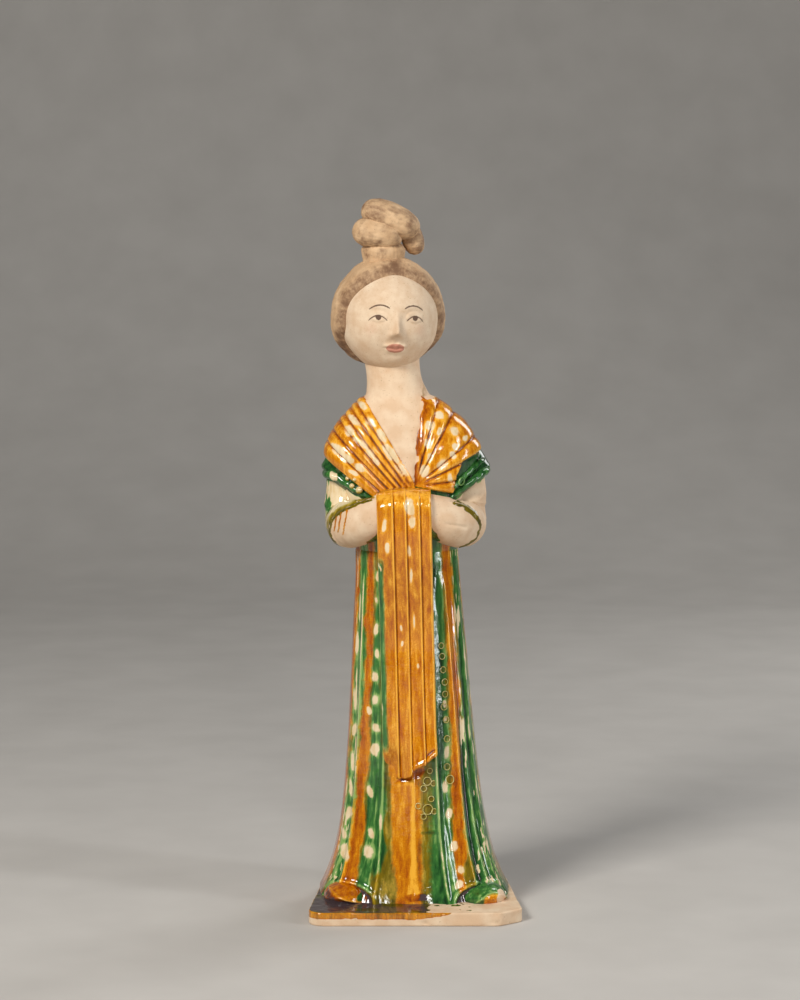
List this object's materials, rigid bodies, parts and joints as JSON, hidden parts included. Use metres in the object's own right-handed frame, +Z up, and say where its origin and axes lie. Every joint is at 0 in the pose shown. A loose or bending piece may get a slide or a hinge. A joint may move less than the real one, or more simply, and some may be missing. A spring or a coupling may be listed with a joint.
{
  "type": "tang court lady figure",
  "caption": "Slender standing court lady in Tang style with a high topknot, pleated shawl and long flared robe, on a thin slab; three-colour glazed earthenware.",
  "frame": {"origin": "middle of the base slab's underside", "axes": "+Z up, the figure faces -Y, and +X is to a viewer's right"},
  "size_m": [0.1192, 0.112, 0.401],
  "materials": {
    "sancai_glaze": "amber, green and cream lead glaze, glossy, run and pooled",
    "bare_clay": "unglazed buff earthenware with a thin pale slip, matt",
    "painted_hair": "unglazed clay with worn dark brown paint, matt"
  },
  "bodies": {
    "root": {"court_lady": "sancai_glaze"}
  },
  "joints": []
}
